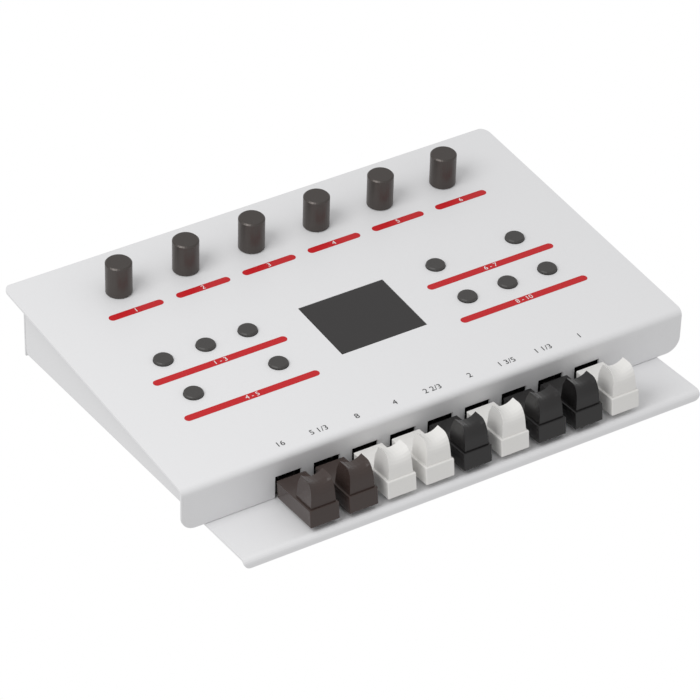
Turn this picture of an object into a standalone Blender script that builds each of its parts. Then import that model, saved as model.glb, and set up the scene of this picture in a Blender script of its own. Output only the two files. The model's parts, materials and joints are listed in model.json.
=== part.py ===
"""Tabletop drawbar organ sound module at its real size, in metres, +Z up.

A folded sheet cover carries the knobs, buttons, window and both circuit boards, and its rear
flange holds the connectors. A folded base runs forward as a tray under nine drawbars, whose
slides run in a guide bolted to it. The base stands on four rubber feet.

Two frames share one corner, where the outer planes of the panel and its front flange meet:
"level" is level with the floor, and "panel" leans back by the panel's slope.
"""

from math import cos, pi, radians, sin, tan

import bmesh
import bpy
from mathutils import Matrix, Vector

MM = 0.001

# Sheet metal
SHEET = 1.2 * MM
SEAT_GAP = 0.3 * MM
PANEL_SLOPE = radians(6.8)
PANEL_WIDTH = 290 * MM
PANEL_DEPTH = 187 * MM
PANEL_CORNER = 7 * MM
FRONT_BEND = 3.6 * MM
REAR_BEND = 2 * MM
FLANGE_DEPTH = 25.1 * MM
FLANGE_CORNER = 8 * MM
WALL_INSET = 12.2 * MM
WALL_BEND = 2.2 * MM
WALL_CORNER = 4 * MM
TRAY_INSET = 13.2 * MM
TRAY_REACH = 34.5 * MM
LIP_DROP = 5.3 * MM
LIP_BEND = 3 * MM
LIP_CORNER = 3.6 * MM

# Feet
FOOT_HEIGHT = 5.2 * MM
FOOT_RADIUS = 7 * MM
FOOT_TAPER = 1 * MM
FOOT_INSET = 20 * MM
FOOT_SETBACK = 20 * MM

# Knobs and the encoders under them
KNOB_COUNT = 6
KNOB_PITCH = 38.67 * MM
KNOB_ROW = 153.6 * MM
KNOB_ROW_CENTRE = 1.5 * MM
KNOB_RADIUS = 7 * MM
KNOB_HEIGHT = 18.2 * MM
KNOB_LIFT = 0.5 * MM
KNOB_CHAMFER = 0.7 * MM
SHAFT_RADIUS = 3 * MM
SHAFT_DEPTH = 4.5 * MM
SHAFT_GAP = 0.2 * MM
BUSHING_WALL = 0.5 * MM
ENCODER_SIDE = 12 * MM
ENCODER_TOP = 1.9 * MM

# Buttons and the switches under them
BUTTON_PITCH = 24.15 * MM
BUTTON_ROWS = (93.1 * MM, 62.5 * MM)
LEFT_BLOCK = -103.2 * MM
RIGHT_BLOCK = 56.0 * MM
LEFT_LAYOUT = ((0, 1, 2), (0, 2))
RIGHT_LAYOUT = ((0, 2), (0, 1, 2))
BUTTON_RADIUS = 5 * MM
BUTTON_PROUD = 1.6 * MM
BUTTON_EDGE = 0.5 * MM
BUTTON_GAP = 0.25 * MM
COLLAR_RADIUS = 6 * MM
COLLAR_HEIGHT = 0.8 * MM
PLUNGER_RADIUS = 2 * MM
PLUNGER_ENTRY = 0.8 * MM
SWITCH_SIDE = 6.2 * MM
SWITCH_HEIGHT = 3.4 * MM
SWITCH_POCKET = 1.8 * MM

# Display
WINDOW_WIDTH = 49.3 * MM
WINDOW_DEPTH = 42.7 * MM
WINDOW_CENTRE = (1.3 * MM, 75.0 * MM)
DISPLAY_RIM = 2.4 * MM

# Circuit boards
BOARD = 1.6 * MM
CONTROL_BOARD_DROP = 8 * MM
CONTROL_BOARD_WIDTH = 254 * MM
CONTROL_BOARD_SPAN = (52 * MM, 171 * MM)
STANDOFF_RADIUS = 2.5 * MM
STANDOFFS = ((-122, 58), (-122, 165), (-40, 120), (60, 120), (122, 58), (122, 165))
POST_RADIUS = 3 * MM
POSTS = ((-118, 30), (118, 30))
MAIN_BOARD_DROP = 38 * MM
MAIN_BOARD_WIDTH = 244 * MM
MAIN_BOARD_SPAN = (140 * MM, 183.5 * MM)

# Drawbars
DRAWBAR_COUNT = 9
DRAWBAR_PITCH = 21.69 * MM
DRAWBAR_CENTRE = 0.9 * MM
NOTCH_WIDTH = 14.6 * MM
NOTCH_TOP = 12.0 * MM
HEAD_WIDTH = 16.2 * MM
HEAD_LENGTH = 32 * MM
HEAD_REAR = 1 * MM
HEAD_LIFT = 2.9 * MM
HEAD_BLOCK = 9.9 * MM
HEAD_EDGE = 0.5 * MM
HUMP_INSET = 1.1 * MM
HUMP_LENGTH = 14 * MM
HUMP_HEIGHT = 14 * MM
HUMP_DIP = 2.3 * MM
HUMP_FLANK = 1 * MM
HUMP_LEAN = 4 * MM
HUMP_CROWN = 5.7 * MM
HUMP_SHOULDER = 6.3 * MM
HUMP_ROOT = 1 * MM
HUMP_SECTIONS = 6
SLIDE_WIDTH = 8 * MM
SLIDE_HEIGHT = 4 * MM
SLIDE_DROP = 2.6 * MM
SLIDE_END = 72 * MM
SLIDE_ENTRY = 5.5 * MM
LEVER_WIDTH = 1.2 * MM
LEVER_LENGTH = 4 * MM
LEVER_BACK = 62 * MM
LEVER_ENTRY = 1 * MM
DRAWBAR_TRAVEL = 26 * MM

# Drawbar guide and the fader board over it
GUIDE_FRONT = 6 * MM
GUIDE_BACK = 76 * MM
GUIDE_ROOF = 1.9 * MM
GUIDE_END = 11 * MM
GUIDE_CHEEK = 4.5 * MM
FADER_WIDTH = 7 * MM
FADER_HEIGHT = 6 * MM
FADER_MARGIN = 6 * MM
FADER_SLOT_GAP = 0.3 * MM
FADER_SLOT_DEPTH = 2 * MM
FADER_BOARD = 1.2 * MM
FADER_BOARD_FRONT = 20 * MM

# Rear connectors, each with its place across the flange
CONNECTOR_GAP = 0.3 * MM
DC_INLET = 112 * MM
USB_SOCKET = 88 * MM
MIDI_SOCKETS = {"midi_in_socket": 60 * MM, "midi_out_socket": 34 * MM}
JACKS = {
    "pedal_jack": -8 * MM,
    "phones_jack": -38 * MM,
    "output_jack_right": -72 * MM,
    "output_jack_left": -102 * MM,
}
JACK_BODY = (15 * MM, 21 * MM, 13 * MM)
JACK_BORE = 3.3 * MM
JACK_BORE_DEPTH = 15 * MM
JACK_BUSHING = 4.6 * MM
JACK_NUT = 6.6 * MM
JACK_NUT_HEIGHT = 2 * MM
DIN_BODY = (19 * MM, 14 * MM, 19 * MM)
DIN_FACE = 7.6 * MM
DIN_PIN = 0.8 * MM
DIN_PIN_CIRCLE = 4 * MM
DIN_PROUD = 1 * MM
USB_BODY = (12 * MM, 18 * MM, 11 * MM)
USB_MOUTH = (8.6 * MM, 9 * MM, 7.8 * MM)
USB_TONGUE = (5.6 * MM, 8 * MM, 3.2 * MM)
USB_PROUD = 0.6 * MM
DC_BODY = (9.4 * MM, 13.5 * MM, 11 * MM)
DC_NOSE = 4 * MM
DC_BORE = 3.2 * MM
DC_PIN = 1 * MM
DC_BORE_DEPTH = 9 * MM

# Round pieces: how many sides
KNOB_SIDES = 32
BUTTON_SIDES = 20
HOLE_SIDES = 24
SMALL_SIDES = 12

# Heights in the level frame, from the shared corner
TRAY_TOP = -(FLANGE_DEPTH * cos(PANEL_SLOPE) + SEAT_GAP)
UNDERSIDE = TRAY_TOP - SHEET
FLOOR = UNDERSIDE - SEAT_GAP - FOOT_HEIGHT
HEAD_BOTTOM = TRAY_TOP + HEAD_LIFT
HEAD_TOP = HEAD_BOTTOM + HEAD_BLOCK
SLIDE_TOP = HEAD_TOP - SLIDE_DROP
SLIDE_BOTTOM = SLIDE_TOP - SLIDE_HEIGHT
GUIDE_TOP = SLIDE_TOP + SEAT_GAP + GUIDE_ROOF
FADER_BOTTOM = GUIDE_TOP + 2 * SEAT_GAP
FADER_TOP = FADER_BOTTOM + FADER_HEIGHT

# Depths in the panel frame
REAR_INSIDE = PANEL_DEPTH - SHEET
REAR_FLANGE_BOTTOM = (UNDERSIDE - PANEL_DEPTH * sin(PANEL_SLOPE)) / cos(PANEL_SLOPE)
JACK_AXIS = -MAIN_BOARD_DROP + SEAT_GAP + JACK_BODY[2] / 2
NUT_BACK = PANEL_DEPTH + CONNECTOR_GAP + JACK_NUT_HEIGHT

# The corner's place, which centres the whole piece over the origin
REAR_REACH = NUT_BACK * cos(PANEL_SLOPE) + (JACK_NUT - JACK_AXIS) * sin(PANEL_SLOPE)
CORNER_PLACE = (0, (TRAY_REACH - REAR_REACH) / 2, -FLOOR)


def start_scene():
    for old in list(bpy.data.objects):
        bpy.data.objects.remove(old)
    groups = []
    for name in ("organ_sound_module", "cutters"):
        group = bpy.data.collections.new(name)
        bpy.context.scene.collection.children.link(group)
        groups.append(group)
    return groups


def empty(name, parent=None, place=(0, 0, 0), slope=0):
    frame = bpy.data.objects.new(name, None)
    PARTS.objects.link(frame)
    frame.parent = parent
    frame.location = place
    frame.rotation_euler = (slope, 0, 0)
    return frame


def material(name, colour, roughness, metallic=0.0):
    look = bpy.data.materials.new(name)
    look.use_nodes = True
    surface = look.node_tree.nodes["Principled BSDF"]
    surface.inputs["Base Color"].default_value = (*colour, 1)
    surface.inputs["Roughness"].default_value = roughness
    surface.inputs["Metallic"].default_value = metallic
    look.diffuse_color = (*colour, 1)
    return look


def piece(name, mesh, frame, look, place=(0, 0, 0)):
    """A named part, placed in one of the two frames."""
    made = bpy.data.objects.new(name, mesh)
    PARTS.objects.link(made)
    made.parent = frame
    made.location = place
    if not mesh.materials:
        mesh.materials.append(look)
    return made


def helper(name, mesh, frame):
    """A hidden solid that a Boolean adds to a part or cuts from it."""
    made = bpy.data.objects.new(name, mesh)
    CUTTERS.objects.link(made)
    made.parent = frame
    made.hide_render = True
    made.display_type = "WIRE"
    return made


def boolean(part, tool, operation):
    change = part.modifiers.new(tool.name, "BOOLEAN")
    change.operation = operation
    change.solver = "EXACT"
    change.object = tool


def join(part, tool):
    boolean(part, tool, "UNION")


def cut(part, tool):
    boolean(part, tool, "DIFFERENCE")


def box(shape, low, high):
    """Adds a box between two corners to the shape."""
    size = [b - a for a, b in zip(low, high)]
    middle = [(a + b) / 2 for a, b in zip(low, high)]
    bmesh.ops.create_cube(shape, size=1, matrix=Matrix.Translation(middle) @ Matrix.Diagonal((*size, 1)))


def rod(shape, start, end, radius, sides=SMALL_SIDES):
    """Adds a cylinder from one point to another to the shape."""
    way = Vector(end) - Vector(start)
    turn = Vector((0, 0, 1)).rotation_difference(way).to_matrix().to_4x4()
    middle = Matrix.Translation((Vector(start) + Vector(end)) / 2)
    bmesh.ops.create_cone(
        shape, cap_ends=True, segments=sides, radius1=radius, radius2=radius, depth=way.length, matrix=middle @ turn
    )


def mesh_of(shape, name):
    mesh = bpy.data.meshes.new(name)
    bmesh.ops.recalc_face_normals(shape, faces=shape.faces)
    shape.to_mesh(mesh)
    shape.free()
    return mesh


def finished(part, name):
    """The part's mesh with its modifiers done, for copies to share. The part itself is removed."""
    bpy.context.view_layer.update()
    graph = bpy.context.evaluated_depsgraph_get()
    mesh = bpy.data.meshes.new_from_object(part.evaluated_get(graph))
    mesh.name = name
    bpy.data.objects.remove(part)
    return mesh


def rounded(corners, closed=True, steps=5):
    """The points of an outline, with each corner (x, y, radius) turned into an arc."""
    points = []
    for i, (x, y, radius) in enumerate(corners):
        here = Vector((x, y))
        if radius == 0 or (not closed and i in (0, len(corners) - 1)):
            points.append(here)
            continue
        before = (Vector(corners[i - 1][:2]) - here).normalized()
        after = (Vector(corners[(i + 1) % len(corners)][:2]) - here).normalized()
        half = before.angle(after) / 2
        centre = here + (before + after).normalized() * radius / sin(half)
        first = here + before * radius / tan(half) - centre
        last = here + after * radius / tan(half) - centre
        turn = first.angle_signed(last)
        for step in range(steps + 1):
            swing = Matrix.Rotation(-turn * step / steps, 2)
            points.append(centre + swing @ first)
    return points


def outline_mesh(name, points, thickness, turn=None):
    """A flat outline in x and y, thickened evenly about z = 0, then turned."""
    curve = bpy.data.curves.new(name, "CURVE")
    curve.dimensions = "2D"
    curve.fill_mode = "BOTH"
    curve.extrude = thickness / 2
    line = curve.splines.new("POLY")
    line.points.add(len(points) - 1)
    for spot, (x, y) in zip(line.points, points):
        spot.co = (x, y, 0, 1)
    line.use_cyclic_u = True
    drawn = bpy.data.objects.new(name, curve)
    PARTS.objects.link(drawn)
    mesh = finished(drawn, name)
    bpy.data.curves.remove(curve)
    shape = bmesh.new()
    shape.from_mesh(mesh)
    bmesh.ops.remove_doubles(shape, verts=shape.verts, dist=1e-6)
    bmesh.ops.recalc_face_normals(shape, faces=shape.faces)
    if turn:
        bmesh.ops.transform(shape, matrix=turn, verts=shape.verts)
    shape.to_mesh(mesh)
    shape.free()
    return mesh


# Turns an outline's x and y into another plane, with its thickness along the third axis
IN_SIDE_VIEW = Matrix(((0, 0, 1, 0), (1, 0, 0, 0), (0, 1, 0, 0), (0, 0, 0, 1)))
IN_FRONT_VIEW = Matrix.Rotation(pi / 2, 4, "X")


def folded_mesh(name, path, half_width):
    """An open sheet along a path of (y, z) points, with its outer side facing out."""
    shape = bmesh.new()
    rails = [[shape.verts.new((side * half_width, y, z)) for y, z in path] for side in (-1, 1)]
    for a, b, c, d in zip(rails[0], rails[0][1:], rails[1][1:], rails[1]):
        shape.faces.new((a, d, c, b))
    mesh = bpy.data.meshes.new(name)
    shape.to_mesh(mesh)
    shape.free()
    return mesh


def thicken(part, offset=-1):
    wall = part.modifiers.new("sheet", "SOLIDIFY")
    wall.thickness = SHEET
    wall.offset = offset
    wall.use_even_offset = True


def turned_mesh(name, profile, sides):
    """A profile of (radius, height) points, top to bottom, turned about z."""
    mesh = bpy.data.meshes.new(name)
    mesh.from_pydata([(r, 0, z) for r, z in profile], [(i, i + 1) for i in range(len(profile) - 1)], [])
    part = bpy.data.objects.new(name, mesh)
    PARTS.objects.link(part)
    screw = part.modifiers.new("turn", "SCREW")
    screw.steps = sides
    screw.render_steps = sides
    screw.use_merge_vertices = True
    screw.merge_threshold = 1e-6
    screw.use_normal_calculate = True
    done = finished(part, name)
    shape = bmesh.new()
    shape.from_mesh(done)
    bmesh.ops.recalc_face_normals(shape, faces=shape.faces)
    shape.to_mesh(done)
    shape.free()
    done.shade_smooth()
    done.set_sharp_from_angle(angle=radians(35))
    return done


def knob_places():
    first = KNOB_ROW_CENTRE - KNOB_PITCH * (KNOB_COUNT - 1) / 2
    return [(first + i * KNOB_PITCH, KNOB_ROW) for i in range(KNOB_COUNT)]


def button_places():
    places = []
    for start, layout in ((LEFT_BLOCK, LEFT_LAYOUT), (RIGHT_BLOCK, RIGHT_LAYOUT)):
        for row, columns in zip(BUTTON_ROWS, layout):
            places += [(start + column * BUTTON_PITCH, row) for column in columns]
    return places


def drawbar_places():
    first = DRAWBAR_CENTRE - DRAWBAR_PITCH * (DRAWBAR_COUNT - 1) / 2
    return [first + i * DRAWBAR_PITCH for i in range(DRAWBAR_COUNT)]


def cover_path():
    """The cover's outer side: up the front flange, back along the panel, down the rear flange."""
    corners = [
        (0, -FLANGE_DEPTH, 0),
        (0, 0, FRONT_BEND),
        (PANEL_DEPTH, 0, REAR_BEND),
        (PANEL_DEPTH, REAR_FLANGE_BOTTOM, 0),
    ]
    return rounded(corners, closed=False, steps=6)


def corner_waste(x, y, radius, towards):
    """The outline outside a rounded corner at (x, y), where towards gives the side of the material."""
    dx, dy = towards
    margin = 2 * MM
    centre = Vector((x + dx * radius, y + dy * radius))
    arc = [centre + Vector((-dx * cos(a), -dy * sin(a))) * radius for a in [pi / 2 * i / 8 for i in range(9)]]
    far = [Vector((x + dx * radius, y - dy * margin)), Vector((x - dx * margin, y - dy * margin))]
    return arc + far + [Vector((x - dx * margin, y + dy * radius))]


def top_cover():
    cover = piece("top_cover", folded_mesh("top_cover", cover_path(), PANEL_WIDTH / 2), PANEL, PAINT)
    thicken(cover)
    add_studs(cover)
    trim_cover_corners(cover)
    cut_drawbar_notches(cover)
    cut_panel_holes(cover)
    cut_connector_holes(cover)


def add_studs(cover):
    """Studs welded under the panel: short ones for the control board, long ones for the base."""
    studs = bmesh.new()
    root = -SHEET / 2
    for x, v in STANDOFFS:
        rod(studs, (x * MM, v * MM, root), (x * MM, v * MM, -CONTROL_BOARD_DROP + SEAT_GAP), STANDOFF_RADIUS)
    for x, v in POSTS:
        lean = POST_RADIUS * sin(PANEL_SLOPE)
        end = (TRAY_TOP + SEAT_GAP + lean - v * MM * sin(PANEL_SLOPE)) / cos(PANEL_SLOPE)
        rod(studs, (x * MM, v * MM, root), (x * MM, v * MM, end), POST_RADIUS)
    join(cover, helper("cover_studs", mesh_of(studs, "cover_studs"), PANEL))


def trim_cover_corners(cover):
    edge = PANEL_WIDTH / 2
    for side, name in ((-1, "left"), (1, "right")):
        waste = corner_waste(side * edge, -FLANGE_DEPTH, FLANGE_CORNER, (-side, 1))
        mesh = outline_mesh(f"flange_corner_{name}", waste, 8 * MM, IN_FRONT_VIEW)
        cut(cover, helper(f"flange_corner_{name}", mesh, PANEL))
        waste = corner_waste(side * edge, PANEL_DEPTH, PANEL_CORNER, (-side, -1))
        mesh = outline_mesh(f"panel_corner_{name}", waste, 8 * MM)
        cut(cover, helper(f"panel_corner_{name}", mesh, PANEL))
    ends = bmesh.new()
    wall = edge - WALL_INSET
    for side in (-1, 1):
        low, high = sorted((side * wall, side * (edge + 2 * MM)))
        box(ends, (low, REAR_INSIDE - REAR_BEND, REAR_FLANGE_BOTTOM - 2 * MM), (high, PANEL_DEPTH + 2 * MM, -SHEET))
    cut(cover, helper("rear_flange_ends", mesh_of(ends, "rear_flange_ends"), PANEL))


def cut_drawbar_notches(cover):
    notches = bmesh.new()
    for x in drawbar_places():
        half = NOTCH_WIDTH / 2
        box(notches, (x - half, -2 * MM, -FLANGE_DEPTH - 2 * MM), (x + half, 2 * SHEET, -NOTCH_TOP))
    cut(cover, helper("drawbar_notches", mesh_of(notches, "drawbar_notches"), PANEL))


def cut_panel_holes(cover):
    holes = bmesh.new()
    reach = 2 * MM
    for x, v in knob_places():
        bushing = SHAFT_RADIUS + SHAFT_GAP + BUSHING_WALL
        rod(holes, (x, v, -SHEET - reach), (x, v, reach), bushing + SEAT_GAP, HOLE_SIDES)
    for x, v in button_places():
        rod(holes, (x, v, -SHEET - reach), (x, v, reach), BUTTON_RADIUS + BUTTON_GAP, HOLE_SIDES)
    x, v = WINDOW_CENTRE
    across, along = WINDOW_WIDTH / 2 + SEAT_GAP, WINDOW_DEPTH / 2 + SEAT_GAP
    box(holes, (x - across, v - along, -SHEET - reach), (x + across, v + along, reach))
    cut(cover, helper("panel_holes", mesh_of(holes, "panel_holes"), PANEL))


def connector_axis(body):
    """The height of a connector's middle when it stands on the main board."""
    return -MAIN_BOARD_DROP + SEAT_GAP + body[2] / 2


def cut_connector_holes(cover):
    holes = bmesh.new()
    front, back = REAR_INSIDE - MM, PANEL_DEPTH + MM
    for x in JACKS.values():
        z = connector_axis(JACK_BODY)
        rod(holes, (x, front, z), (x, back, z), JACK_BUSHING + CONNECTOR_GAP, HOLE_SIDES)
    for x in MIDI_SOCKETS.values():
        z = connector_axis(DIN_BODY)
        rod(holes, (x, front, z), (x, back, z), DIN_FACE + CONNECTOR_GAP, HOLE_SIDES)
    z = connector_axis(DC_BODY)
    rod(holes, (DC_INLET, front, z), (DC_INLET, back, z), DC_NOSE + CONNECTOR_GAP, HOLE_SIDES)
    z = connector_axis(USB_BODY)
    across, up = USB_BODY[0] / 2 + CONNECTOR_GAP, USB_BODY[2] / 2 + CONNECTOR_GAP
    box(holes, (USB_SOCKET - across, front, z - up), (USB_SOCKET + across, back, z + up))
    cut(cover, helper("connector_holes", mesh_of(holes, "connector_holes"), PANEL))


def base_chassis():
    """One folded sheet: a tub under the cover, and in front of it the tray with its turned-down lip."""
    outside = PANEL_WIDTH / 2 - WALL_INSET
    deep = PANEL_DEPTH
    tub_path = rounded(
        [(-outside, deep, 0), (-outside, UNDERSIDE, WALL_BEND), (outside, UNDERSIDE, WALL_BEND), (outside, deep, 0)],
        closed=False,
        steps=4,
    )
    shape = bmesh.new()
    ends = [[shape.verts.new((x, y, z)) for x, z in tub_path] for y in (0, PANEL_DEPTH + 10 * MM)]
    for a, b, c, d in zip(ends[0], ends[0][1:], ends[1][1:], ends[1]):
        shape.faces.new((a, d, c, b))
    mesh = bpy.data.meshes.new("base_chassis")
    shape.to_mesh(mesh)
    shape.free()
    base = piece("base_chassis", mesh, LEVEL, PAINT)
    thicken(base)
    trim_tub(base)
    add_tray(base)


def trim_tub(base):
    """Keeps the tub inside the cover: what is left of it follows the cover's inner side."""
    top = -SHEET - SEAT_GAP
    front, back = SHEET + SEAT_GAP, REAR_INSIDE - SEAT_GAP

    def from_panel(v, n):
        slope = PANEL_SLOPE
        return v * cos(slope) - n * sin(slope), v * sin(slope) + n * cos(slope)

    def on_floor(v, z):
        return (v - z * sin(PANEL_SLOPE)) / cos(PANEL_SLOPE), z

    low = UNDERSIDE - MM
    keep = rounded(
        [
            (*on_floor(front, low), 0),
            (*from_panel(front, top), FRONT_BEND - front),
            (*from_panel(back, top), REAR_BEND - front),
            (*on_floor(back, UNDERSIDE), WALL_CORNER),
            (*on_floor(back - 2 * WALL_CORNER, UNDERSIDE), 0),
            (*on_floor(back - 2 * WALL_CORNER, low), 0),
        ]
    )
    mesh = outline_mesh("tub_limits", keep, PANEL_WIDTH, IN_SIDE_VIEW)
    boolean(base, helper("tub_limits", mesh, LEVEL), "INTERSECT")


def add_tray(base):
    half = PANEL_WIDTH / 2 - TRAY_INSET
    seam = 12 * MM
    path = rounded(
        [(-TRAY_REACH, TRAY_TOP - LIP_DROP, 0), (-TRAY_REACH, TRAY_TOP, LIP_BEND), (seam, TRAY_TOP, 0)],
        closed=False,
        steps=5,
    )
    tray = helper("tray", folded_mesh("tray", path, half), LEVEL)
    thicken(tray)
    for side, name in ((-1, "left"), (1, "right")):
        waste = corner_waste(side * half, TRAY_TOP - LIP_DROP, LIP_CORNER, (-side, 1))
        mesh = outline_mesh(f"lip_corner_{name}", waste, 3 * MM, IN_FRONT_VIEW @ Matrix.Translation((0, 0, TRAY_REACH)))
        cut(tray, helper(f"lip_corner_{name}", mesh, LEVEL))
    join(base, tray)


def feet():
    profile = [(0, 0), (FOOT_RADIUS, 0), (FOOT_RADIUS - FOOT_TAPER, -FOOT_HEIGHT), (0, -FOOT_HEIGHT)]
    mesh = turned_mesh("foot", profile, HOLE_SIDES)
    wall = PANEL_WIDTH / 2 - WALL_INSET
    front, back = FOOT_SETBACK, PANEL_DEPTH - FOOT_SETBACK
    for x, side in ((-wall + FOOT_INSET, "left"), (wall - FOOT_INSET, "right")):
        for y, end in ((front, "front"), (back, "rear")):
            piece(f"foot_{end}_{side}", mesh, LEVEL, RUBBER, (x, y, UNDERSIDE - SEAT_GAP))


def display():
    x, v = WINDOW_CENTRE
    shape = bmesh.new()
    half = (WINDOW_WIDTH / 2, WINDOW_DEPTH / 2)
    box(shape, (-half[0], -half[1], -SHEET), (half[0], half[1], 0))
    piece("display_window", mesh_of(shape, "display_window"), PANEL, SMOKED, (x, v, 0))
    shape = bmesh.new()
    low = -CONTROL_BOARD_DROP + SEAT_GAP
    wide, deep = half[0] + DISPLAY_RIM, half[1] + DISPLAY_RIM
    box(shape, (-wide, -deep, low), (wide, deep, -SHEET - SEAT_GAP))
    piece("display_module", mesh_of(shape, "display_module"), PANEL, DARK_METAL, (x, v, 0))


def control_board():
    front, back = CONTROL_BOARD_SPAN
    half = CONTROL_BOARD_WIDTH / 2
    shape = bmesh.new()
    box(shape, (-half, front, -CONTROL_BOARD_DROP - BOARD), (half, back, -CONTROL_BOARD_DROP))
    board = piece("control_board", mesh_of(shape, "control_board"), PANEL, CIRCUIT)
    switches = bmesh.new()
    pockets = bmesh.new()
    side = SWITCH_SIDE / 2
    for x, v in button_places():
        top = -CONTROL_BOARD_DROP + SWITCH_HEIGHT
        box(switches, (x - side, v - side, -CONTROL_BOARD_DROP - BOARD / 2), (x + side, v + side, top))
        rod(pockets, (x, v, top - SWITCH_POCKET), (x, v, top + MM), PLUNGER_RADIUS + SEAT_GAP)
    join(board, helper("switches", mesh_of(switches, "switches"), PANEL))
    cut(board, helper("switch_pockets", mesh_of(pockets, "switch_pockets"), PANEL))


def encoders():
    """Each encoder's case stands on the control board, with its bushing in the panel's hole."""
    side = ENCODER_SIDE / 2
    bore = SHAFT_RADIUS + SHAFT_GAP
    shape = bmesh.new()
    box(shape, (-side, -side, -CONTROL_BOARD_DROP + SEAT_GAP), (side, side, -ENCODER_TOP))
    case = piece("encoder_case", mesh_of(shape, "encoder_case"), PANEL, DARK_METAL)
    bushing = bmesh.new()
    rod(bushing, (0, 0, -2 * ENCODER_TOP), (0, 0, KNOB_LIFT - SEAT_GAP), bore + BUSHING_WALL, HOLE_SIDES)
    join(case, helper("encoder_bushing", mesh_of(bushing, "encoder_bushing"), PANEL))
    hole = bmesh.new()
    rod(hole, (0, 0, -SHAFT_DEPTH - SEAT_GAP), (0, 0, KNOB_LIFT + MM), bore, HOLE_SIDES)
    cut(case, helper("encoder_bore", mesh_of(hole, "encoder_bore"), PANEL))
    mesh = finished(case, "encoder")
    for i, (x, v) in enumerate(knob_places(), 1):
        piece(f"encoder_{i}", mesh, PANEL, DARK_METAL, (x, v, 0))


def knobs():
    """A turned knob with its shaft, which reaches down into the encoder."""
    top = KNOB_LIFT + KNOB_HEIGHT
    profile = [
        (0, top),
        (KNOB_RADIUS - KNOB_CHAMFER, top),
        (KNOB_RADIUS, top - KNOB_CHAMFER),
        (KNOB_RADIUS, KNOB_LIFT),
        (SHAFT_RADIUS, KNOB_LIFT),
        (SHAFT_RADIUS, -SHAFT_DEPTH),
        (0, -SHAFT_DEPTH),
    ]
    mesh = turned_mesh("knob", profile, KNOB_SIDES)
    for i, (x, v) in enumerate(knob_places(), 1):
        piece(f"knob_{i}", mesh, PANEL, GUNMETAL, (x, v, 0))


def buttons():
    """A cap with a collar that the panel holds down, and a plunger that reaches into its switch."""
    collar_top = -SHEET - SEAT_GAP
    plunger_end = -CONTROL_BOARD_DROP + SWITCH_HEIGHT - PLUNGER_ENTRY
    profile = [
        (0, BUTTON_PROUD),
        (BUTTON_RADIUS - BUTTON_EDGE, BUTTON_PROUD),
        (BUTTON_RADIUS, BUTTON_PROUD - BUTTON_EDGE),
        (BUTTON_RADIUS, collar_top),
        (COLLAR_RADIUS, collar_top),
        (COLLAR_RADIUS, collar_top - COLLAR_HEIGHT),
        (PLUNGER_RADIUS, collar_top - COLLAR_HEIGHT),
        (PLUNGER_RADIUS, plunger_end),
        (0, plunger_end),
    ]
    mesh = turned_mesh("button", profile, BUTTON_SIDES)
    for i, (x, v) in enumerate(button_places(), 1):
        piece(f"button_{i}", mesh, PANEL, BUTTON_GREY, (x, v, 0))


def hump_section(across):
    """The grip's side view at one place across it, from its rear foot over the ridge to its front foot.

    across runs from -1 at one flank to 1 at the other. The ridge dips in the middle for a finger.
    Points are (y, z), with y behind the head's front and z above the block.
    """
    front = HUMP_INSET
    rear = front + HUMP_LENGTH
    ridge = rear - HUMP_LEAN
    crown = ridge - HUMP_CROWN
    dip = HUMP_DIP * (1 - across * across)
    points = [(rear, -HUMP_ROOT), (rear, 0), (rear - HUMP_LEAN * 0.3, HUMP_HEIGHT * 0.6)]
    points.append((ridge, HUMP_HEIGHT - dip))
    for step in range(6):
        angle = pi / 2 * step / 5
        fall = (HUMP_HEIGHT - HUMP_SHOULDER) * (1 - cos(angle)) + dip * cos(angle)
        points.append((crown - (crown - front) * sin(angle), HUMP_HEIGHT - fall))
    points.append((front, -HUMP_ROOT))
    return points


def hump_mesh():
    """A loft of side views across the grip, whose flanks draw in towards the top."""
    half = HEAD_WIDTH / 2 - HUMP_INSET
    shape = bmesh.new()
    rings = []
    for step in range(HUMP_SECTIONS + 1):
        across = 2 * step / HUMP_SECTIONS - 1
        ring = []
        for y, z in hump_section(across):
            wide = half - HUMP_FLANK * max(z, 0) / HUMP_HEIGHT
            ring.append(shape.verts.new((across * wide, y - HEAD_LENGTH, HEAD_TOP + z)))
        rings.append(ring)
    for one, other in zip(rings, rings[1:]):
        for i in range(len(one)):
            j = (i + 1) % len(one)
            shape.faces.new((one[i], one[j], other[j], other[i]))
    shape.faces.new(rings[0])
    shape.faces.new(rings[-1])
    return mesh_of(shape, "hump")


def drawbar_heads():
    """A block with soft edges, a saddle-topped grip on its front, and a pocket for the slide."""
    half = HEAD_WIDTH / 2
    block = bmesh.new()
    box(block, (-half, -HEAD_LENGTH, HEAD_BOTTOM), (half, 0, HEAD_TOP))
    head = piece("head_block", mesh_of(block, "head_block"), LEVEL, BROWN)
    soften = head.modifiers.new("edges", "BEVEL")
    soften.width = HEAD_EDGE
    soften.segments = 2
    join(head, helper("hump", hump_mesh(), LEVEL))
    pocket = bmesh.new()
    wide = SLIDE_WIDTH / 2 + SEAT_GAP
    deep = SLIDE_ENTRY + SEAT_GAP
    box(pocket, (-wide, -deep, SLIDE_BOTTOM - SEAT_GAP), (wide, MM, SLIDE_TOP + SEAT_GAP))
    cut(head, helper("head_pocket", mesh_of(pocket, "head_pocket"), LEVEL))
    plain = finished(head, "drawbar_head")
    plain.materials.clear()
    looks = (BROWN, BROWN, WHITE, WHITE, BLACK, WHITE, BLACK, BLACK, WHITE)
    meshes = {look.name: plain.copy() for look in (BROWN, WHITE, BLACK)}
    for i, (x, look) in enumerate(zip(drawbar_places(), looks), 1):
        piece(f"drawbar_head_{i}", meshes[look.name], LEVEL, look, (x, -HEAD_REAR, 0))


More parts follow.
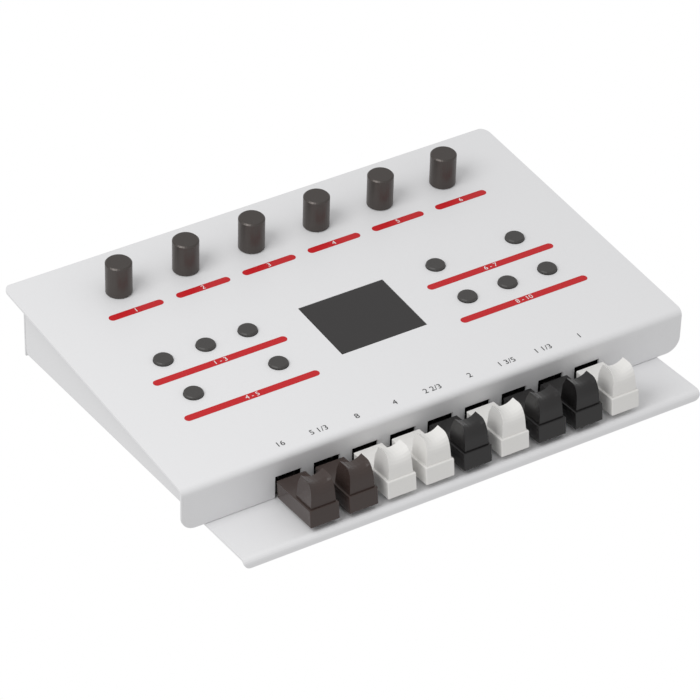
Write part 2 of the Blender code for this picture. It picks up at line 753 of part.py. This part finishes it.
def drawbar_slides():
    """A bar that runs in the guide, with a lever that stands up into its fader."""
    half = SLIDE_WIDTH / 2
    front = -HEAD_REAR - SLIDE_ENTRY
    shape = bmesh.new()
    box(shape, (-half, front, SLIDE_BOTTOM), (half, SLIDE_END, SLIDE_TOP))
    bar = piece("slide_bar", mesh_of(shape, "slide_bar"), LEVEL, BLACK)
    lever = bmesh.new()
    wide = LEVER_WIDTH / 2
    tip = FADER_BOTTOM + LEVER_ENTRY
    box(lever, (-wide, LEVER_BACK - LEVER_LENGTH, SLIDE_TOP - MM), (wide, LEVER_BACK, tip))
    join(bar, helper("lever", mesh_of(lever, "lever"), LEVEL))
    mesh = finished(bar, "drawbar_slide")
    for i, x in enumerate(drawbar_places(), 1):
        piece(f"drawbar_slide_{i}", mesh, LEVEL, BLACK, (x, 0, 0))


def drawbar_guide():
    """A moulded block with a tunnel for each slide, a slot over it for the lever, and two cheeks."""
    centre = DRAWBAR_CENTRE
    half = DRAWBAR_PITCH * (DRAWBAR_COUNT - 1) / 2 + GUIDE_END
    bottom = TRAY_TOP + SEAT_GAP
    shape = bmesh.new()
    box(shape, (centre - half, GUIDE_FRONT, bottom), (centre + half, GUIDE_BACK, GUIDE_TOP))
    guide = piece("drawbar_guide", mesh_of(shape, "drawbar_guide"), LEVEL, BLACK)
    cheeks = bmesh.new()
    for side in (-1, 1):
        low, high = sorted((centre + side * half, centre + side * (half - GUIDE_CHEEK)))
        box(cheeks, (low, FADER_BOARD_FRONT, bottom + MM), (high, GUIDE_BACK - MM, FADER_TOP - SEAT_GAP))
    join(guide, helper("guide_cheeks", mesh_of(cheeks, "guide_cheeks"), LEVEL))
    tunnels = bmesh.new()
    slots = bmesh.new()
    wide = SLIDE_WIDTH / 2 + SEAT_GAP
    narrow = LEVER_WIDTH / 2 + SEAT_GAP
    front = LEVER_BACK - LEVER_LENGTH - DRAWBAR_TRAVEL - SEAT_GAP
    for x in drawbar_places():
        low, high = SLIDE_BOTTOM - SEAT_GAP, SLIDE_TOP + SEAT_GAP
        box(tunnels, (x - wide, GUIDE_FRONT - MM, low), (x + wide, GUIDE_BACK + MM, high))
        box(slots, (x - narrow, front, SLIDE_TOP), (x + narrow, GUIDE_BACK + MM, GUIDE_TOP + MM))
    cut(guide, helper("guide_tunnels", mesh_of(tunnels, "guide_tunnels"), LEVEL))
    cut(guide, helper("guide_slots", mesh_of(slots, "guide_slots"), LEVEL))


def fader_board():
    """A circuit board on the guide's cheeks, with nine slide faders hanging under it."""
    centre = DRAWBAR_CENTRE
    half = DRAWBAR_PITCH * (DRAWBAR_COUNT - 1) / 2 + GUIDE_END
    shape = bmesh.new()
    box(shape, (centre - half, FADER_BOARD_FRONT, FADER_TOP), (centre + half, GUIDE_BACK, FADER_TOP + FADER_BOARD))
    board = piece("fader_board", mesh_of(shape, "fader_board"), LEVEL, CIRCUIT)
    faders = bmesh.new()
    slots = bmesh.new()
    narrow = LEVER_WIDTH / 2 + FADER_SLOT_GAP
    back = LEVER_BACK + SEAT_GAP
    front = LEVER_BACK - LEVER_LENGTH - DRAWBAR_TRAVEL - SEAT_GAP
    for x in drawbar_places():
        low = (x - FADER_WIDTH / 2, front - FADER_MARGIN, FADER_BOTTOM)
        box(faders, low, (x + FADER_WIDTH / 2, back + FADER_MARGIN, FADER_TOP + FADER_BOARD / 2))
        box(slots, (x - narrow, front, FADER_BOTTOM - MM), (x + narrow, back, FADER_BOTTOM + FADER_SLOT_DEPTH))
    join(board, helper("faders", mesh_of(faders, "faders"), LEVEL))
    cut(board, helper("fader_slots", mesh_of(slots, "fader_slots"), LEVEL))


def main_board():
    front, back = MAIN_BOARD_SPAN
    half = MAIN_BOARD_WIDTH / 2
    shape = bmesh.new()
    box(shape, (-half, front, -MAIN_BOARD_DROP - BOARD), (half, back, -MAIN_BOARD_DROP))
    piece("main_board", mesh_of(shape, "main_board"), PANEL, CIRCUIT)


def connector_case(name, x, body, look):
    """A connector's case on the main board, with its front just inside the rear flange."""
    z = connector_axis(body)
    back = REAR_INSIDE - CONNECTOR_GAP
    shape = bmesh.new()
    box(shape, (-body[0] / 2, back - body[1], z - body[2] / 2), (body[0] / 2, back, z + body[2] / 2))
    return piece(name, mesh_of(shape, name), PANEL, look, (x, 0, 0)), z, back


def jacks():
    """A case with a threaded bushing through the flange, the nut on it, and the plug's bore."""
    case, z, back = connector_case("jack_case", 0, JACK_BODY, BLACK)
    nose = bmesh.new()
    rod(nose, (0, back - MM, z), (0, NUT_BACK - JACK_NUT_HEIGHT / 2, z), JACK_BUSHING, HOLE_SIDES)
    join(case, helper("jack_bushing", mesh_of(nose, "jack_bushing"), PANEL))
    nut = bmesh.new()
    rod(nut, (0, NUT_BACK - JACK_NUT_HEIGHT, z), (0, NUT_BACK, z), JACK_NUT, SMALL_SIDES)
    join(case, helper("jack_nut", mesh_of(nut, "jack_nut"), PANEL))
    bore = bmesh.new()
    rod(bore, (0, NUT_BACK - JACK_BORE_DEPTH, z), (0, NUT_BACK + MM, z), JACK_BORE, HOLE_SIDES)
    cut(case, helper("jack_bore", mesh_of(bore, "jack_bore"), PANEL))
    mesh = finished(case, "jack")
    for name, x in JACKS.items():
        piece(name, mesh, PANEL, BLACK, (x, 0, 0))


def midi_sockets():
    """A round face with five pin holes on a half circle."""
    case, z, back = connector_case("din_case", 0, DIN_BODY, BLACK)
    face = bmesh.new()
    rod(face, (0, back - MM, z), (0, PANEL_DEPTH + DIN_PROUD, z), DIN_FACE, HOLE_SIDES)
    join(case, helper("din_face", mesh_of(face, "din_face"), PANEL))
    pins = bmesh.new()
    for i in range(5):
        angle = pi * i / 4
        x, rise = DIN_PIN_CIRCLE * cos(angle), DIN_PIN_CIRCLE * sin(angle) - DIN_PIN_CIRCLE / 3
        rod(pins, (x, PANEL_DEPTH - 4 * MM, z + rise), (x, PANEL_DEPTH + 2 * MM, z + rise), DIN_PIN, 8)
    cut(case, helper("din_pins", mesh_of(pins, "din_pins"), PANEL))
    mesh = finished(case, "din")
    for name, x in MIDI_SOCKETS.items():
        piece(name, mesh, PANEL, BLACK, (x, 0, 0))


def usb_socket():
    case, z, back = connector_case("usb_socket", USB_SOCKET, USB_BODY, DARK_METAL)
    front = PANEL_DEPTH + USB_PROUD
    shell = bmesh.new()
    wide, high = USB_BODY[0] / 2 - SEAT_GAP, USB_BODY[2] / 2 - SEAT_GAP
    box(shell, (USB_SOCKET - wide, back - MM, z - high), (USB_SOCKET + wide, front, z + high))
    join(case, helper("usb_shell", mesh_of(shell, "usb_shell"), PANEL))
    mouth = bmesh.new()
    wide, high = USB_MOUTH[0] / 2, USB_MOUTH[2] / 2
    box(mouth, (USB_SOCKET - wide, front - USB_MOUTH[1], z - high), (USB_SOCKET + wide, front + MM, z + high))
    cut(case, helper("usb_mouth", mesh_of(mouth, "usb_mouth"), PANEL))
    tongue = bmesh.new()
    wide, high = USB_TONGUE[0] / 2, USB_TONGUE[2] / 2
    root = front - USB_MOUTH[1] - MM
    box(tongue, (USB_SOCKET - wide, root, z - high), (USB_SOCKET + wide, root + USB_TONGUE[1], z + high))
    join(case, helper("usb_tongue", mesh_of(tongue, "usb_tongue"), PANEL))


def dc_inlet():
    case, z, back = connector_case("dc_inlet", DC_INLET, DC_BODY, BLACK)
    nose = bmesh.new()
    rod(nose, (DC_INLET, back - MM, z), (DC_INLET, PANEL_DEPTH, z), DC_NOSE, HOLE_SIDES)
    join(case, helper("dc_nose", mesh_of(nose, "dc_nose"), PANEL))
    bore = bmesh.new()
    rod(bore, (DC_INLET, PANEL_DEPTH - DC_BORE_DEPTH, z), (DC_INLET, PANEL_DEPTH + MM, z), DC_BORE, HOLE_SIDES)
    cut(case, helper("dc_bore", mesh_of(bore, "dc_bore"), PANEL))
    pin = bmesh.new()
    rod(pin, (DC_INLET, PANEL_DEPTH - DC_BORE_DEPTH - MM, z), (DC_INLET, PANEL_DEPTH - MM, z), DC_PIN)
    join(case, helper("dc_pin", mesh_of(pin, "dc_pin"), PANEL))


def build():
    top_cover()
    base_chassis()
    feet()
    display()
    control_board()
    encoders()
    knobs()
    buttons()
    drawbar_heads()
    drawbar_slides()
    drawbar_guide()
    fader_board()
    main_board()
    jacks()
    midi_sockets()
    usb_socket()
    dc_inlet()


PARTS, CUTTERS = start_scene()
LEVEL = empty("level", place=CORNER_PLACE)
PANEL = empty("panel", LEVEL, slope=PANEL_SLOPE)
PAINT = material("white_paint", (0.86, 0.86, 0.86), 0.45)
RUBBER = material("black_rubber", (0.02, 0.02, 0.02), 0.8)
SMOKED = material("smoked_window", (0.015, 0.013, 0.013), 0.2)
DARK_METAL = material("plated_steel", (0.35, 0.35, 0.36), 0.4, 0.9)
CIRCUIT = material("circuit_board", (0.03, 0.12, 0.05), 0.5)
GUNMETAL = material("gunmetal", (0.06, 0.05, 0.045), 0.35, 0.6)
BUTTON_GREY = material("dark_grey_plastic", (0.05, 0.047, 0.045), 0.45)
BROWN = material("brown_plastic", (0.045, 0.03, 0.026), 0.3)
WHITE = material("white_plastic", (0.8, 0.79, 0.77), 0.3)
BLACK = material("black_plastic", (0.012, 0.011, 0.011), 0.3)
build()
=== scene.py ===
"""Materials, generic prints, light and the photo's camera for the tabletop drawbar organ sound module."""
import json
from math import cos, pi, radians, sin

import bmesh
import bpy
from mathutils import Matrix, Vector


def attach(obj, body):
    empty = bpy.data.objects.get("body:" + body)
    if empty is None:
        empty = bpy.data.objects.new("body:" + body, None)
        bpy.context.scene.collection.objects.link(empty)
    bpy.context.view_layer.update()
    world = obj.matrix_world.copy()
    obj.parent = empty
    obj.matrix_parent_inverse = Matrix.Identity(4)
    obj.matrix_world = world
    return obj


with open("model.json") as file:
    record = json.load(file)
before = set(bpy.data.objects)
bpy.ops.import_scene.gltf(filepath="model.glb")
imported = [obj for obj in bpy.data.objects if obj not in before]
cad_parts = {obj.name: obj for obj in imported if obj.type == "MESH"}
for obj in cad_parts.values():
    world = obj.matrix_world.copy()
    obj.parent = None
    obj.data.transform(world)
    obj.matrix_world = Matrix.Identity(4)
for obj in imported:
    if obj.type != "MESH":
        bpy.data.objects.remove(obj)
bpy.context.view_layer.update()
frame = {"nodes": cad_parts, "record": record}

MM = 0.001

# The panel's frame, with its corner where the panel and the front flange meet
SLOPE = radians(6.8)
CORNER = Vector((0, -78.972 * MM, 31.923 * MM))
PANEL = Matrix.Translation(CORNER) @ Matrix.Rotation(SLOPE, 4, "X")
PRINT_LIFT = 0.05 * MM

# Camera, solved in the panel's frame
CAMERA_TURN = radians(-32.107)
CAMERA_RISE = radians(37.933)
CAMERA_ROLL = radians(1.60)
CAMERA_DISTANCE = 1981.1 * MM
CAMERA_TARGET = Vector((-18.37 * MM, 54.6 * MM, 0))
CAMERA_LENS = 204.76

towards = Vector((sin(CAMERA_TURN) * cos(CAMERA_RISE), -cos(CAMERA_TURN) * cos(CAMERA_RISE), sin(CAMERA_RISE)))
level = (-towards).cross(Vector((0, 0, 1))).normalized()
rise = level.cross(-towards)
across = level * cos(CAMERA_ROLL) + rise * sin(CAMERA_ROLL)
above = rise * cos(CAMERA_ROLL) - level * sin(CAMERA_ROLL)
turn = Matrix((across, above, towards)).transposed().to_4x4()
place = Matrix.Translation(CAMERA_TARGET + towards * CAMERA_DISTANCE)
camera = bpy.data.objects.new("camera", bpy.data.cameras.new("camera"))
bpy.context.scene.collection.objects.link(camera)
camera.matrix_world = PANEL @ place @ turn
camera.data.lens = CAMERA_LENS
bpy.context.scene.camera = camera

# Light: an even white surround and a large key light from the left
scene = bpy.context.scene
scene.view_settings.view_transform = "Standard"
scene.render.resolution_x = 700
scene.render.resolution_y = 700
world = bpy.data.worlds.new("white_surround")
scene.world = world
world.use_nodes = True
nodes, links = world.node_tree.nodes, world.node_tree.links
seen = nodes.new("ShaderNodeBackground")
path = nodes.new("ShaderNodeLightPath")
mix = nodes.new("ShaderNodeMixShader")
nodes["Background"].inputs["Color"].default_value = (1, 1, 1, 1)
nodes["Background"].inputs["Strength"].default_value = 0.65
seen.inputs["Color"].default_value = (1, 1, 1, 1)
links.new(path.outputs["Is Camera Ray"], mix.inputs["Fac"])
links.new(nodes["Background"].outputs["Background"], mix.inputs[1])
links.new(seen.outputs["Background"], mix.inputs[2])
links.new(mix.outputs["Shader"], nodes["World Output"].inputs["Surface"])
key = bpy.data.objects.new("key_light", bpy.data.lights.new("key_light", "AREA"))
scene.collection.objects.link(key)
key.data.size = 0.8
key.data.energy = 9
key.location = (-0.9, -0.3, 1.1)
key.rotation_euler = (-key.location).to_track_quat("-Z", "Y").to_euler()


def finish_of(name, colour, roughness, grain, bump, metallic=0.0):
    """A surface whose colour and roughness vary with fine noise, and whose grain raises it slightly."""
    look = bpy.data.materials.new(name)
    look.use_nodes = True
    nodes, links = look.node_tree.nodes, look.node_tree.links
    surface = nodes["Principled BSDF"]
    surface.inputs["Metallic"].default_value = metallic
    where = nodes.new("ShaderNodeTexCoord")
    noise = nodes.new("ShaderNodeTexNoise")
    noise.inputs["Scale"].default_value = grain
    noise.inputs["Detail"].default_value = 4
    links.new(where.outputs["Object"], noise.inputs["Vector"])
    tint = nodes.new("ShaderNodeMapRange")
    tint.inputs["To Min"].default_value = roughness * 0.9
    tint.inputs["To Max"].default_value = roughness * 1.1
    links.new(noise.outputs["Fac"], tint.inputs["Value"])
    links.new(tint.outputs["Result"], surface.inputs["Roughness"])
    ramp = nodes.new("ShaderNodeValToRGB")
    ramp.color_ramp.elements[0].color = (*[c * 0.96 for c in colour], 1)
    ramp.color_ramp.elements[1].color = (*colour, 1)
    links.new(noise.outputs["Fac"], ramp.inputs["Fac"])
    links.new(ramp.outputs["Color"], surface.inputs["Base Color"])
    raise_grain = nodes.new("ShaderNodeBump")
    raise_grain.inputs["Distance"].default_value = bump
    links.new(noise.outputs["Fac"], raise_grain.inputs["Height"])
    links.new(raise_grain.outputs["Normal"], surface.inputs["Normal"])
    return look


paint = finish_of("powder_coat", (0.8, 0.8, 0.81), 0.45, 1800, 0.00002)
rubber = finish_of("foot_rubber", (0.03, 0.03, 0.03), 0.8, 900, 0.00003)
window = finish_of("smoked_window", (0.02, 0.018, 0.018), 0.12, 300, 0.000002)
dark_metal = finish_of("dark_metal", (0.1, 0.1, 0.11), 0.4, 900, 0.00001, 0.8)
circuit = finish_of("circuit_board", (0.02, 0.12, 0.05), 0.5, 600, 0.00001)
gunmetal = finish_of("gunmetal", (0.08, 0.07, 0.065), 0.35, 1500, 0.00001, 0.6)
button_grey = finish_of("button_grey", (0.05, 0.047, 0.045), 0.45, 1500, 0.00001)
brown = finish_of("drawbar_brown", (0.045, 0.03, 0.026), 0.25, 500, 0.000004)
white = finish_of("drawbar_white", (0.8, 0.79, 0.77), 0.25, 500, 0.000004)
black = finish_of("drawbar_black", (0.012, 0.011, 0.011), 0.25, 500, 0.000004)
red_ink = finish_of("red_ink", (0.55, 0.0, 0.005), 0.5, 1800, 0.00001)
black_ink = finish_of("black_ink", (0.03, 0.03, 0.03), 0.5, 1800, 0.00001)
white_ink = finish_of("white_ink", (0.85, 0.85, 0.85), 0.5, 1800, 0.00001)

LOOKS = {
    "paint": paint,
    "rubber": rubber,
    "smoked_window": window,
    "dark_metal": dark_metal,
    "circuit": circuit,
    "gunmetal": gunmetal,
    "dark_grey_plastic": button_grey,
    "brown_plastic": brown,
    "white_plastic": white,
    "black_plastic": black,
}
for part in frame["record"]["subparts"]:
    shown = frame["nodes"][part["node"]]
    shown.data.materials.clear()
    shown.data.materials.append(LOOKS[part["material_slot"]])


def add_print(name, mesh, ink, turned, x, v, lift):
    """A print, laid on the panel at x across and v behind the front edge."""
    mesh.transform(PANEL @ Matrix.Translation((x, v, lift)) @ turned)
    mesh.materials.clear()
    mesh.materials.append(ink)
    made = bpy.data.objects.new(name, mesh)
    scene.collection.objects.link(made)
    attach(made, "case")


def pill(name, x, v, width, height):
    """A red label with half-round ends: an oval stretched straight between two end arcs."""
    shape = bmesh.new()
    radius = height / 2
    corners = []
    for side in (1, -1):
        for step in range(13):
            angle = pi * step / 12 - pi / 2
            middle = side * (width / 2 - radius)
            corners.append(shape.verts.new((middle + side * radius * cos(angle), side * radius * sin(angle), 0)))
    shape.faces.new(corners)
    mesh = bpy.data.meshes.new(name)
    shape.to_mesh(mesh)
    shape.free()
    add_print(name, mesh, red_ink, Matrix.Identity(4), x, v, PRINT_LIFT)


def number(name, words, x, v, size, ink, lift=2 * PRINT_LIFT):
    curve = bpy.data.curves.new(name, "FONT")
    curve.body = words
    curve.size = size
    curve.align_x = "CENTER"
    curve.align_y = "CENTER"
    drawn = bpy.data.objects.new(name, curve)
    scene.collection.objects.link(drawn)
    bpy.context.view_layer.update()
    mesh = bpy.data.meshes.new_from_object(drawn.evaluated_get(bpy.context.evaluated_depsgraph_get()))
    bpy.data.objects.remove(drawn)
    add_print(name, mesh, ink, Matrix.Identity(4), x, v, lift)


KNOB_PITCH = 38.67 * MM
KNOB_CENTRE = 1.5 * MM
PILL_ROW = 135.5 * MM
for i in range(6):
    x = KNOB_CENTRE + (i - 2.5) * KNOB_PITCH
    pill(f"knob_label_{i + 1}", x, PILL_ROW, 31 * MM, 4.5 * MM)
    number(f"knob_number_{i + 1}", str(i + 1), x, PILL_ROW, 4.2 * MM, white_ink)

BARS = {"left": (-78.7 * MM, ("1 - 3", "4 - 5")), "right": (80.35 * MM, ("6 - 7", "8 - 10"))}
for side, (x, words) in BARS.items():
    for row, (v, text) in enumerate(zip((78.7 * MM, 47.1 * MM), words), 1):
        pill(f"bar_{side}_{row}", x, v, 76 * MM, 4.5 * MM)
        number(f"bar_number_{side}_{row}", text, x, v, 4.2 * MM, white_ink)

FOOTAGES = ("16", "5 1/3", "8", "4", "2 2/3", "2", "1 3/5", "1 1/3", "1")
for i, words in enumerate(FOOTAGES):
    number(f"footage_{i + 1}", words, (0.9 + (i - 4) * 21.69) * MM, 8 * MM, 5 * MM, black_ink)
